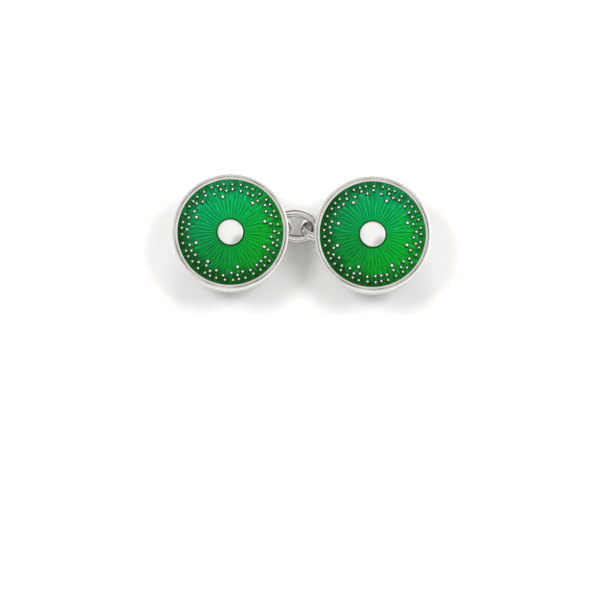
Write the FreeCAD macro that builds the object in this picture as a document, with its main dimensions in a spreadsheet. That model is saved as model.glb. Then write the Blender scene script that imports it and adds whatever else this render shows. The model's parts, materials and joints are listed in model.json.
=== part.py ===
import FreeCAD, Part
import math
import os
import Sketcher

# A double-sided chain-link cufflink: two round enamelled silver faces joined by
# three wire links. It lies on a table with both faces up. +X runs along the
# chain, +Z is up, and the origin is on the table under the middle.

SHEET_NAME = "Dimensions"

# Driving dimensions: alias, value in millimetres, degrees or a count, meaning.
# Levels in a face are measured up from the underside of its back plate.
DIMENSIONS = (
    ("face_spacing", 19.4, "between the two face centres, along X"),
    ("face_stagger", 0.29, "between the two face centres, along Y"),
    ("back_height", 4.1, "underside of the back plates above the table"),
    ("left_face_turn", 35.0, "turn of the left dial about its own axis"),
    ("right_face_turn", 0.0, "turn of the right dial about its own axis"),
    ("rim_radius", 8.0, "outside of the rim ring"),
    ("rim_bore", 7.6, "inside of the rim ring"),
    ("rim_under", 0.1, "level of the rim ring's lower edge"),
    ("rim_top", 3.5, "level of the rim ring's upper edge"),
    ("rim_top_round", 0.15, "round of the rim ring's upper outer edge"),
    ("rim_low_round", 0.3, "round of the rim ring's lower outer edge"),
    ("back_top", 0.6, "thickness of the back plate"),
    ("back_round", 0.25, "round of the back plate's lower edge"),
    ("bearer_bore", 7.0, "inside of the bearer ring that seats the dial tray"),
    ("tray_radius", 7.58, "outside of the dial tray"),
    ("tray_under", 2.5, "level of the dial tray's underside"),
    ("tray_floor", 3.0, "level of the dial tray's engraved floor"),
    ("tray_well", 7.17, "radius of the tray's floor"),
    ("crest_radius", 7.33, "inner edge of the tray's crest"),
    ("crest_level", 3.5, "level of the tray's crest"),
    ("crest_round", 0.05, "round of the crest's outer edge"),
    ("ray_count", 48, "engraved rays round the dial"),
    ("ray_start", 2.0, "inner end of a ray"),
    ("ray_end", 7.0, "outer end of a ray"),
    ("ray_inner_width", 0.1, "width of a ray at its inner end"),
    ("ray_outer_width", 0.42, "width of a ray at its outer end"),
    ("ray_depth", 0.06, "depth of a ray"),
    ("enamel_radius", 7.2, "outside of the enamel at its surface"),
    ("enamel_bore", 1.82, "inside of the enamel, round the centre stud"),
    ("enamel_top", 3.42, "level of the enamel's surface"),
    ("pip_proud", 0.05, "height of the pips above the enamel"),
    ("pip_clearance", 0.01, "gap between a pip and the enamel round it"),
    ("stud_radius", 1.75, "radius of the centre stud"),
    ("stud_side", 3.52, "level of the stud's shoulder"),
    ("stud_top", 3.77, "level of the top of the stud's dome"),
    ("peg_radius", 0.5, "radius of the stud's peg"),
    ("peg_hole", 0.52, "radius of the hole for the peg"),
    ("peg_end", 2.08, "level of the peg's riveted end"),
    ("washer_radius", 1.2, "outside of the rivet washer"),
    ("washer_under", 2.2, "level of the rivet washer's underside"),
    ("eye_wire_radius", 0.5, "radius of the eye's wire"),
    ("eye_leg_spacing", 5.2, "between the eye's two legs, on the wire's centre"),
    ("eye_bend", 0.9, "bend of the eye's wire, on its centre"),
    ("foot_flat", 0.12, "depth filed off under the eye"),
    ("foot_box", 12.0, "side of the square that files the eye's foot"),
    ("link_wire_radius", 0.55, "radius of the wire of all three links"),
    ("link_bow", 1.82, "bend of a face link's end, on the wire's centre"),
    ("link_straight", 5.1, "straight length of a face link's sides"),
    ("link_lean", 45.0, "turn of a face link about its length, from level"),
    ("ring_half_length", 2.7, "half the middle link's length, on the wire's centre"),
    ("ring_half_width", 1.8, "half the middle link's width, on the wire's centre"),
    ("ring_bow", 1.5, "bend of the middle link's ends, on the wire's centre"),
    ("ring_lean", 20.0, "turn of the middle link about its length, from level"),
    ("ring_turn", -6.0, "turn of the middle link about the upright axis"),
    ("chain_height", 2.09, "centre of the chain above the table"),
    ("chain_bulge", 1.6, "how far back the middle link lies"),
    ("ring_offset", -0.75, "centre of the middle link along X"),
    ("link_slack", 0.48, "play of each face link in the middle link"),
)

# Rows of pips: count, part of the enamel's radius, sway, radius of a pip, phase.
PIP_ROWS = (
    (41, 0.915, 0.006, 0.15, 0.0),
    (39, 0.808, 0.030, 0.17, 0.4),
    (8, 0.690, 0.012, 0.21, 2.0),
)

# The pips sit a little unevenly: shift along a row in steps, and how the shift and
# the sway change from pip to pip, in radians.
PIP_SHIFT = 0.16
PIP_SHIFT_TURN = 4.7
PIP_SWAY_TURN = 2.9

# The least metal-free gap between two pips, in millimetres.
PIP_GAP = 0.12

# How closely an edge has to match a radius or a level to be picked, in millimetres.
MATCH = 1e-4

doc = FreeCAD.newDocument("Cufflink")
sheet = doc.addObject("Spreadsheet::Sheet", SHEET_NAME)
for row, (alias, number, meaning) in enumerate(DIMENSIONS, start=1):
    sheet.set("A%d" % row, meaning)
    sheet.set("B%d" % row, str(number))
    sheet.setAlias("B%d" % row, alias)
doc.recompute()

size = {alias: float(sheet.get(alias)) for alias, number, meaning in DIMENSIONS}
sub_parts = []


def bind(feature, prop, alias):
    """Tie a property of a feature to a cell of the sheet."""
    feature.setExpression(prop, "%s.%s" % (SHEET_NAME, alias))


def new_body(label):
    """Start a sub-part as a body with its own label."""
    body = doc.addObject("PartDesign::Body", label)
    body.Label = label
    return body


def new_sketch(body, name, plane):
    """Start a sketch on one of the body's own origin planes."""
    sketch = body.newObject("Sketcher::SketchObject", name)
    support = [item for item in body.Origin.OriginFeatures if item.Role == plane]
    sketch.AttachmentSupport = (support[0], [""])
    sketch.MapMode = "FlatFace"
    return sketch


def add_datum(sketch, constraint, alias):
    """Add a dimension to a sketch and tie it to the sheet."""
    index = sketch.addConstraint(constraint)
    sketch.renameConstraint(index, "%s_%d" % (alias, index))
    bind(sketch, "Constraints.%s_%d" % (alias, index), alias)


def place_vertex(sketch, edge, across, up):
    """Fix the start of an edge; None puts it on the sketch's own axis."""
    if across is None:
        sketch.addConstraint(Sketcher.Constraint("PointOnObject", edge, 1, -2))
    else:
        add_datum(sketch, Sketcher.Constraint("DistanceX", -1, 1, edge, 1, size[across]), across)
    if up is None:
        sketch.addConstraint(Sketcher.Constraint("PointOnObject", edge, 1, -1))
    else:
        add_datum(sketch, Sketcher.Constraint("DistanceY", -1, 1, edge, 1, size[up]), up)


def close_loop(sketch, count):
    """Join the end of each edge to the start of the next, all the way round."""
    for edge in range(count):
        sketch.addConstraint(Sketcher.Constraint("Coincident", edge, 2, (edge + 1) % count, 1))


def draw_polygon(sketch, corners):
    """Draw a closed polygon through corners given as pairs of numbers."""
    for edge, corner in enumerate(corners):
        following = corners[(edge + 1) % len(corners)]
        sketch.addGeometry(Part.LineSegment(FreeCAD.Vector(*corner), FreeCAD.Vector(*following)))
    close_loop(sketch, len(corners))


def turned_outline(body, name, corners, dome_edge=None):
    """Draw a closed section for turning; one edge may be an arc centred on the axis."""
    sketch = new_sketch(body, name, "XZ_Plane")
    points = []
    for across, up in corners:
        x = size[across] if across else 0.0
        y = size[up] if up else 0.0
        points.append(FreeCAD.Vector(x, y, 0))
    count = len(points)
    for edge in range(count):
        start = points[edge]
        finish = points[(edge + 1) % count]
        if edge == dome_edge:
            rise = finish.y - start.y
            radius = (start.x ** 2 + rise ** 2) / (2 * rise)
            centre = FreeCAD.Vector(0, finish.y - radius, 0)
            shoulder = math.atan2(start.y - centre.y, start.x)
            circle = Part.Circle(centre, FreeCAD.Vector(0, 0, 1), radius)
            sketch.addGeometry(Part.ArcOfCircle(circle, shoulder, math.pi / 2))
            sketch.addConstraint(Sketcher.Constraint("PointOnObject", edge, 3, -2))
        else:
            sketch.addGeometry(Part.LineSegment(start, finish))
    close_loop(sketch, count)
    for edge, (across, up) in enumerate(corners):
        place_vertex(sketch, edge, across, up)
    return sketch


def turn(body, sketch):
    """Turn a section through a full circle about the face's axis."""
    feature = body.newObject("PartDesign::Revolution", sketch.Name + "_turned")
    feature.Profile = sketch
    feature.ReferenceAxis = (sketch, ["V_Axis"])
    feature.Angle = 360.0
    doc.recompute()
    return feature


def round_edge(body, base, radius, level, round_alias):
    """Round the circular edge of a turned piece at a radius and a level."""
    edges = []
    for number, edge in enumerate(base.Shape.Edges, start=1):
        centre = edge.BoundBox.Center
        on_radius = abs(edge.BoundBox.XLength / 2 - size[radius]) < MATCH
        if on_radius and abs(centre.z - size[level]) < MATCH and edge.BoundBox.ZLength < MATCH:
            edges.append("Edge%d" % number)
    feature = body.newObject("PartDesign::Fillet", "%s_%s" % (base.Name, round_alias))
    feature.Base = (base, edges)
    bind(feature, "Radius", round_alias)
    doc.recompute()
    return feature


def keep(piece, placement):
    """Place a finished piece and list it for writing."""
    piece.Placement = placement
    sub_parts.append(piece)


def rim_ring(label):
    """Outer band of a face."""
    body = new_body(label)
    section = turned_outline(body, label + "_section", (
        ("rim_bore", "rim_under"), ("rim_radius", "rim_under"),
        ("rim_radius", "rim_top"), ("rim_bore", "rim_top")))
    ring = turn(body, section)
    ring = round_edge(body, ring, "rim_radius", "rim_top", "rim_top_round")
    round_edge(body, ring, "rim_radius", "rim_under", "rim_low_round")
    return body


def back_plate(label):
    """Plain disc that closes the underside of a face."""
    body = new_body(label)
    section = turned_outline(body, label + "_section", (
        (None, None), ("rim_bore", None), ("rim_bore", "back_top"), (None, "back_top")))
    plate = turn(body, section)
    edges = []
    for number, edge in enumerate(plate.Shape.Edges, start=1):
        if edge.BoundBox.ZMax < MATCH and edge.BoundBox.XLength > size["rim_bore"]:
            edges.append("Edge%d" % number)
    rounded = body.newObject("PartDesign::Fillet", label + "_rounded")
    rounded.Base = (plate, edges)
    bind(rounded, "Radius", "back_round")
    return body


def bearer_ring(label):
    """Flat ring on the back plate that carries the dial tray."""
    body = new_body(label)
    turn(body, turned_outline(body, label + "_section", (
        ("bearer_bore", "back_top"), ("tray_radius", "back_top"),
        ("tray_radius", "tray_under"), ("bearer_bore", "tray_under"))))
    return body


def dial_tray(label):
    """Shallow tray with a bevelled wall and a sunburst of engraved rays on its floor."""
    body = new_body(label)
    section = turned_outline(body, label + "_section", (
        ("peg_hole", "tray_under"), ("tray_radius", "tray_under"),
        ("tray_radius", "crest_level"), ("crest_radius", "crest_level"),
        ("enamel_radius", "enamel_top"), ("tray_well", "tray_floor"),
        ("peg_hole", "tray_floor")))
    tray = turn(body, section)
    tray = round_edge(body, tray, "tray_radius", "crest_level", "crest_round")
    ray = new_sketch(body, label + "_ray", "XY_Plane")
    bind(ray, "AttachmentOffset.Base.z", "tray_floor")
    inner = size["ray_inner_width"] / 2
    outer = size["ray_outer_width"] / 2
    draw_polygon(ray, (
        (size["ray_start"], -inner), (size["ray_end"], -outer),
        (size["ray_end"], outer), (size["ray_start"], inner)))
    ray.addConstraint(Sketcher.Constraint("Symmetric", 0, 1, 2, 2, -1))
    ray.addConstraint(Sketcher.Constraint("Symmetric", 0, 2, 2, 1, -1))
    add_datum(ray, Sketcher.Constraint("DistanceX", -1, 1, 0, 1, size["ray_start"]), "ray_start")
    add_datum(ray, Sketcher.Constraint("DistanceX", -1, 1, 0, 2, size["ray_end"]), "ray_end")
    add_datum(ray, Sketcher.Constraint("DistanceY", 0, 1, 2, 2, 2 * inner), "ray_inner_width")
    add_datum(ray, Sketcher.Constraint("DistanceY", 0, 2, 2, 1, 2 * outer), "ray_outer_width")
    cut = body.newObject("PartDesign::Pocket", label + "_ray_cut")
    cut.Profile = ray
    bind(cut, "Length", "ray_depth")
    doc.recompute()
    rays = body.newObject("PartDesign::PolarPattern", label + "_rays")
    rays.Originals = [cut]
    rays.Axis = (ray, ["N_Axis"])
    rays.Angle = 360.0
    bind(rays, "Occurrences", "ray_count")
    body.Tip = rays
    doc.recompute()
    print(label, "engraved away", round(tray.Shape.Volume - rays.Shape.Volume, 3), "mm3")
    return body


def centre_stud(label):
    """Domed stud whose peg goes down through the dial tray."""
    body = new_body(label)
    turn(body, turned_outline(body, label + "_section", (
        (None, "peg_end"), ("peg_radius", "peg_end"), ("peg_radius", "tray_floor"),
        ("stud_radius", "tray_floor"), ("stud_radius", "stud_side"), (None, "stud_top")),
        dome_edge=4))
    return body


def stud_washer(label):
    """Washer that the stud's peg is riveted over, under the dial tray."""
    body = new_body(label)
    turn(body, turned_outline(body, label + "_section", (
        ("peg_hole", "washer_under"), ("washer_radius", "washer_under"),
        ("washer_radius", "tray_under"), ("peg_hole", "tray_under"))))
    return body


def pip_places():
    """Centre and radius of each pip: loose rows that crowd towards the rim."""
    places = []
    for count, part, sway, radius, phase in PIP_ROWS:
        for number in range(count):
            step = number + PIP_SHIFT * math.sin(PIP_SHIFT_TURN * number + phase)
            angle = phase + 2 * math.pi * step / count
            reach = size["enamel_radius"] * (part + sway * math.sin(PIP_SWAY_TURN * number + phase))
            centre = FreeCAD.Vector(reach * math.cos(angle), reach * math.sin(angle), 0)
            for other, other_radius in places:
                if (centre - other).Length < radius + other_radius + PIP_GAP:
                    raise RuntimeError("two pips are too close together")
            places.append((centre, radius))
    return places


def pip_pins(clearance, top):
    """Pins on the tray's floor, each a separate solid, at all the pips' places."""
    pins = []
    height = top - size["tray_floor"]
    for centre, radius in pip_places():
        foot = centre + FreeCAD.Vector(0, 0, size["tray_floor"])
        pins.append(Part.makeCylinder(radius + clearance, height, foot))
    return Part.makeCompound(pins)


def pips(label):
    """Small silver pins that stand through the enamel."""
    piece = doc.addObject("Part::Feature", label)
    piece.Label = label
    piece.Shape = pip_pins(0.0, size["enamel_top"] + size["pip_proud"])
    return piece


def enamel(label, placement):
    """Glass layer in the tray, with a hole for each pip and for the stud."""
    layer = new_body(label + "_layer")
    turn(layer, turned_outline(layer, label + "_section", (
        ("enamel_bore", "tray_floor"), ("tray_well", "tray_floor"),
        ("enamel_radius", "enamel_top"), ("enamel_bore", "enamel_top"))))
    layer.Placement = placement
    holes = doc.addObject("Part::Feature", label + "_pip_holes")
    holes.Shape = pip_pins(size["pip_clearance"], size["crest_level"])
    holes.Placement = placement
    piece = doc.addObject("Part::Cut", label)
    piece.Label = label
    piece.Base = layer
    piece.Tool = holes
    doc.recompute()
    sub_parts.append(piece)


def join_smoothly(sketch, count):
    """Make each of a row of edges run tangent into the start of the next."""
    for edge in range(count - 1):
        sketch.addConstraint(Sketcher.Constraint("Tangent", edge, 2, edge + 1, 1))


def bend(centre, radius, start_angle, finish_angle):
    """Arc of wire about a centre, between two angles in degrees."""
    circle = Part.Circle(centre, FreeCAD.Vector(0, 0, 1), radius)
    return Part.ArcOfCircle(circle, math.radians(start_angle), math.radians(finish_angle))


def draw_wire(body, path, profile):
    """Sweep a wire's round section along its path."""
    feature = body.newObject("PartDesign::AdditivePipe", body.Name + "_wire")
    feature.Profile = profile
    feature.Spine = (path, [])
    doc.recompute()
    return feature


def eye(label):
    """Square-shouldered wire eye under the back plate, filed flat where it stands."""
    body = new_body(label)
    half = size["eye_leg_spacing"] / 2
    radius = size["eye_bend"]
    drop = size["back_height"] + size["foot_flat"] - size["eye_wire_radius"]
    path = new_sketch(body, label + "_path", "XZ_Plane")
    path.addGeometry(Part.LineSegment(
        FreeCAD.Vector(-half, 0, 0), FreeCAD.Vector(-half, radius - drop, 0)))
    path.addGeometry(bend(FreeCAD.Vector(radius - half, radius - drop, 0), radius, 180, 270))
    path.addGeometry(Part.LineSegment(
        FreeCAD.Vector(radius - half, -drop, 0), FreeCAD.Vector(half - radius, -drop, 0)))
    path.addGeometry(bend(FreeCAD.Vector(half - radius, radius - drop, 0), radius, 270, 360))
    path.addGeometry(Part.LineSegment(
        FreeCAD.Vector(half, radius - drop, 0), FreeCAD.Vector(half, 0, 0)))
    join_smoothly(path, 5)
    path.addConstraint(Sketcher.Constraint("Vertical", 0))
    path.addConstraint(Sketcher.Constraint("Symmetric", 0, 1, 4, 2, -1, 1))
    path.addConstraint(Sketcher.Constraint("PointOnObject", 0, 1, -1))
    path.addConstraint(Sketcher.Constraint("Equal", 1, 3))
    path.addConstraint(Sketcher.Constraint("Horizontal", 2))
    add_datum(path, Sketcher.Constraint("Radius", 1, radius), "eye_bend")
    add_datum(path, Sketcher.Constraint("DistanceX", 0, 1, 4, 2, 2 * half), "eye_leg_spacing")
    reach = path.addConstraint(Sketcher.Constraint("DistanceY", 2, 1, -1, 1, drop))
    path.renameConstraint(reach, "reach")
    path.setExpression("Constraints.reach", "%s.back_height + %s.foot_flat - %s.eye_wire_radius" % (
        (SHEET_NAME,) * 3))
    section = new_sketch(body, label + "_section", "XY_Plane")
    section.addGeometry(Part.Circle(
        FreeCAD.Vector(-half, 0, 0), FreeCAD.Vector(0, 0, 1), size["eye_wire_radius"]))
    section.addConstraint(Sketcher.Constraint("PointOnObject", 0, 3, -1))
    add_datum(section, Sketcher.Constraint("Radius", 0, size["eye_wire_radius"]), "eye_wire_radius")
    stand = section.addConstraint(Sketcher.Constraint("DistanceX", 0, 3, -1, 1, half))
    section.renameConstraint(stand, "stand")
    section.setExpression("Constraints.stand", "%s.eye_leg_spacing / 2" % SHEET_NAME)
    wire = draw_wire(body, path, section)
    foot = new_sketch(body, label + "_foot", "XY_Plane")
    foot.setExpression("AttachmentOffset.Base.z", "-%s.back_height" % SHEET_NAME)
    side = size["foot_box"] / 2
    draw_polygon(foot, ((-side, -side), (side, -side), (side, side), (-side, side)))
    for edge, direction in enumerate(("Horizontal", "Vertical", "Horizontal", "Vertical")):
        foot.addConstraint(Sketcher.Constraint(direction, edge))
    foot.addConstraint(Sketcher.Constraint("Symmetric", 0, 1, 1, 2, -1, 1))
    foot.addConstraint(Sketcher.Constraint("Equal", 0, 1))
    add_datum(foot, Sketcher.Constraint("DistanceX", 0, 1, 0, 2, 2 * side), "foot_box")
    filed = body.newObject("PartDesign::Pocket", label + "_filed")
    filed.Profile = foot
    bind(filed, "Length", "eye_wire_radius")
    doc.recompute()
    print(label, "filed away", round(wire.Shape.Volume - filed.Shape.Volume, 4), "mm3")
    return body


def sweep_link(body, path, top, length):
    """Sweep a link's round wire along its closed path, starting at the path's top."""
    section = new_sketch(body, body.Name + "_section", "YZ_Plane")
    section.addGeometry(Part.Circle(
        FreeCAD.Vector(size[top], 0, 0), FreeCAD.Vector(0, 0, 1), size["link_wire_radius"]))
    section.addConstraint(Sketcher.Constraint("PointOnObject", 0, 3, -1))
    add_datum(section, Sketcher.Constraint("Radius", 0, size["link_wire_radius"]), "link_wire_radius")
    add_datum(section, Sketcher.Constraint("DistanceX", -1, 1, 0, 3, size[top]), top)
    wire = draw_wire(body, path, section)
    expected = math.pi * size["link_wire_radius"] ** 2 * length
    print(body.Label, "volume", round(wire.Shape.Volume, 3), "expected", round(expected, 3), "mm3")


def face_link(label):
    """Straight-sided link of round wire, flat in its own XY plane and long in X."""
    body = new_body(label)
    radius = size["link_bow"]
    half = size["link_straight"] / 2
    path = new_sketch(body, label + "_path", "XY_Plane")
    path.addGeometry(Part.LineSegment(FreeCAD.Vector(0, radius, 0), FreeCAD.Vector(-half, radius, 0)))
    path.addGeometry(bend(FreeCAD.Vector(-half, 0, 0), radius, 90, 270))
    path.addGeometry(Part.LineSegment(FreeCAD.Vector(-half, -radius, 0), FreeCAD.Vector(half, -radius, 0)))
    path.addGeometry(bend(FreeCAD.Vector(half, 0, 0), radius, 270, 450))
    path.addGeometry(Part.LineSegment(FreeCAD.Vector(half, radius, 0), FreeCAD.Vector(0, radius, 0)))
    join_smoothly(path, 5)
    path.addConstraint(Sketcher.Constraint("Coincident", 4, 2, 0, 1))
    path.addConstraint(Sketcher.Constraint("PointOnObject", 0, 1, -2))
    path.addConstraint(Sketcher.Constraint("Symmetric", 1, 3, 3, 3, -1, 1))
    path.addConstraint(Sketcher.Constraint("Horizontal", 2))
    add_datum(path, Sketcher.Constraint("Radius", 1, radius), "link_bow")
    add_datum(path, Sketcher.Constraint("DistanceX", 1, 3, 3, 3, 2 * half), "link_straight")
    sweep_link(body, path, "link_bow", 2 * math.pi * radius + 4 * half)
    return body


def oval_link(label):
    """Oval link of round wire with curved sides, flat in its own XY plane and long in X."""
    body = new_body(label)
    radius = size["ring_bow"]
    width = size["ring_half_width"]
    reach = size["ring_half_length"] - radius
    side = (reach ** 2 + width ** 2 - radius ** 2) / (2 * (width - radius))
    drop = side - width
    tip = math.degrees(math.atan2(drop, reach))
    low_centre = FreeCAD.Vector(0, -drop, 0)
    path = new_sketch(body, label + "_path", "XY_Plane")
    path.addGeometry(bend(low_centre, side, 90, 180 - tip))
    path.addGeometry(bend(FreeCAD.Vector(-reach, 0, 0), radius, 180 - tip, 180 + tip))
    path.addGeometry(bend(FreeCAD.Vector(0, drop, 0), side, 180 + tip, 360 - tip))
    path.addGeometry(bend(FreeCAD.Vector(reach, 0, 0), radius, 360 - tip, 360 + tip))
    path.addGeometry(bend(low_centre, side, tip, 90))
    join_smoothly(path, 5)
    path.addConstraint(Sketcher.Constraint("Coincident", 4, 2, 0, 1))
    path.addConstraint(Sketcher.Constraint("Coincident", 4, 3, 0, 3))
    path.addConstraint(Sketcher.Constraint("PointOnObject", 0, 1, -2))
    path.addConstraint(Sketcher.Constraint("PointOnObject", 0, 3, -2))
    path.addConstraint(Sketcher.Constraint("PointOnObject", 1, 3, -1))
    path.addConstraint(Sketcher.Constraint("Symmetric", 1, 3, 3, 3, -1, 1))
    path.addConstraint(Sketcher.Constraint("Equal", 0, 2))
    add_datum(path, Sketcher.Constraint("Radius", 1, radius), "ring_bow")
    add_datum(path, Sketcher.Constraint("DistanceY", -1, 1, 0, 1, width), "ring_half_width")
    spread = path.addConstraint(Sketcher.Constraint("DistanceX", 1, 3, -1, 1, reach))
    path.renameConstraint(spread, "spread")
    path.setExpression("Constraints.spread", "%s.ring_half_length - %s.ring_bow" % ((SHEET_NAME,) * 2))
    sweep_link(body, path, "ring_half_width",
               4 * math.radians(tip) * radius + 4 * math.radians(90 - tip) * side)
    return body


def face(side, centre_x, centre_y, dial_turn, eye_turn):
    """All the pieces of one face, standing at a point of the table."""
    z_axis = FreeCAD.Vector(0, 0, 1)
    base = FreeCAD.Vector(centre_x, centre_y, size["back_height"])
    plain = FreeCAD.Placement(base, FreeCAD.Rotation(z_axis, 0))
    turned = FreeCAD.Placement(base, FreeCAD.Rotation(z_axis, dial_turn))
    keep(rim_ring(side + "_rim_ring"), plain)
    keep(back_plate(side + "_back_plate"), plain)
    keep(bearer_ring(side + "_bearer_ring"), plain)
    keep(dial_tray(side + "_dial_tray"), turned)
    enamel(side + "_enamel", turned)
    keep(pips(side + "_pips"), turned)
    keep(centre_stud(side + "_centre_stud"), turned)
    keep(stud_washer(side + "_stud_washer"), turned)
    keep(eye(side + "_eye"), FreeCAD.Placement(base, FreeCAD.Rotation(z_axis, eye_turn)))


def link_placement(inner_end, face_x, face_y):
    """Place a leaning face link with one end at a point, pointing at a face's centre."""
    length = size["link_straight"] + 2 * size["link_bow"]
    run = FreeCAD.Vector(face_x - inner_end.x, face_y - inner_end.y, 0)
    outer_end = inner_end + run * (length / run.Length)
    yaw = math.degrees(math.atan(run.y / run.x))
    about_z = FreeCAD.Rotation(FreeCAD.Vector(0, 0, 1), yaw)
    about_x = FreeCAD.Rotation(FreeCAD.Vector(1, 0, 0), -size["link_lean"])
    placement = FreeCAD.Placement((inner_end + outer_end) / 2, about_z.multiply(about_x))
    return placement, outer_end, yaw


half_spacing = size["face_spacing"] / 2
half_stagger = size["face_stagger"] / 2
ring_centre = FreeCAD.Vector(size["ring_offset"], size["chain_bulge"], size["chain_height"])
ring_swivel = FreeCAD.Rotation(FreeCAD.Vector(0, 0, 1), size["ring_turn"])
ring_tilt = FreeCAD.Rotation(FreeCAD.Vector(1, 0, 0), size["ring_lean"])
reach = size["ring_half_length"] - 2 * size["link_wire_radius"] - size["link_slack"]
to_inner_end = ring_swivel.multVec(FreeCAD.Vector(reach, 0, 0))
left_inner_end = ring_centre - to_inner_end
right_inner_end = ring_centre + to_inner_end
left_placement, left_outer_end, left_yaw = link_placement(left_inner_end, -half_spacing, half_stagger)
right_placement, right_outer_end, right_yaw = link_placement(right_inner_end, half_spacing, -half_stagger)

face("left", -half_spacing, half_stagger, size["left_face_turn"], left_yaw)
face("right", half_spacing, -half_stagger, size["right_face_turn"], right_yaw)
keep(face_link("left_link"), left_placement)
keep(oval_link("middle_link"), FreeCAD.Placement(ring_centre, ring_swivel.multiply(ring_tilt)))
keep(face_link("right_link"), right_placement)

doc.recompute()
for item in doc.Objects:
    if "Invalid" in item.State or "Error" in item.State:
        raise RuntimeError("%s did not build: %s" % (item.Name, item.State))
for piece in sub_parts:
    if piece.Shape.isNull() or not piece.Shape.isValid():
        raise RuntimeError("%s has no valid shape" % piece.Label)

print("left link", left_outer_end, left_inner_end, "yaw", round(left_yaw, 3))
print("right link", right_outer_end, right_inner_end, "yaw", round(right_yaw, 3))
os.makedirs("parts", exist_ok=True)
for piece in sub_parts:
    piece.Shape.exportStep("parts/%s.step" % piece.Label)
    print(piece.Label, round(piece.Shape.Volume, 3), "mm3", len(piece.Shape.Solids), "solids")
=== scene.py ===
"""A chain-link cufflink: polished silver, engraved sunburst dials and translucent green enamel."""
import json
import logging
import math
from collections.abc import Sequence
from dataclasses import dataclass
from enum import Enum

import bpy
from mathutils import Matrix, Vector


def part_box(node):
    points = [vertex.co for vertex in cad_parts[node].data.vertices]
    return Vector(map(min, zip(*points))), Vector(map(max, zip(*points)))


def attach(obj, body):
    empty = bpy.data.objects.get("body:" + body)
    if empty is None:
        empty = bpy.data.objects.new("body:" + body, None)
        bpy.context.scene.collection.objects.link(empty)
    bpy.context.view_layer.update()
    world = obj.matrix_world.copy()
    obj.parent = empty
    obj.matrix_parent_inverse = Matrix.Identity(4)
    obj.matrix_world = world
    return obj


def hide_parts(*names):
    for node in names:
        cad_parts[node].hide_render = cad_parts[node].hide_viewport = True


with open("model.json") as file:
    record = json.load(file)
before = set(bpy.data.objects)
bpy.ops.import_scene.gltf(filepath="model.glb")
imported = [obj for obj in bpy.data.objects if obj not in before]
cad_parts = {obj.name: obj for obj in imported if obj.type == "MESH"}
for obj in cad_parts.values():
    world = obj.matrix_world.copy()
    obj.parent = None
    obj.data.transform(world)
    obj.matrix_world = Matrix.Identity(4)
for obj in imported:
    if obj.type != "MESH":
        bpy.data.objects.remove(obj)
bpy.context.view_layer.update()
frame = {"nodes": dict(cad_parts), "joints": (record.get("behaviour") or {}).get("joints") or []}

MM = 0.001
FULL_TURN = 2 * math.pi
ON_AXIS = 1e-7
SHARP_ANGLE = 40.0
DIAL_MAP = "dial"
WIRE_MAP = "wire"
LOG = logging.getLogger("cufflink")

# The guard points beside a rounded corner stand this many rounding lengths from the corner.
GUARD = 1.25

# Turns that make the rays uneven, in radians.
UNEVEN_NUMBER = 2.4
UNEVEN_KIND = 2.7

# The Mix node's sockets for colours, which share their names with its other sockets.
MIX_COLOURS = (6, 7)
MIX_RESULT = 2

Triple = tuple[float, float, float]
Colour = Triple
Point = tuple[float, float]
Material = bpy.types.Material
Mesh = bpy.types.Mesh
Socket = bpy.types.NodeSocket


class Side(Enum):
    """Which of the two faces a piece belongs to."""

    LEFT = "left"
    RIGHT = "right"


class Slot(Enum):
    """The record's material slots."""

    POLISHED = "polished_silver"
    ENGRAVED = "engraved_silver"
    PLAIN = "plain_silver"
    ENAMEL = "green_enamel"


class Uneven(Enum):
    """What differs a little from ray to ray."""

    SLOPE = 1
    VALLEY = 2
    HALF_VALLEY = 3
    TONE = 4
    RIDGE = 5


DIAL_TURNS = {Side.LEFT: math.radians(35.0), Side.RIGHT: 0.0}


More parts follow.
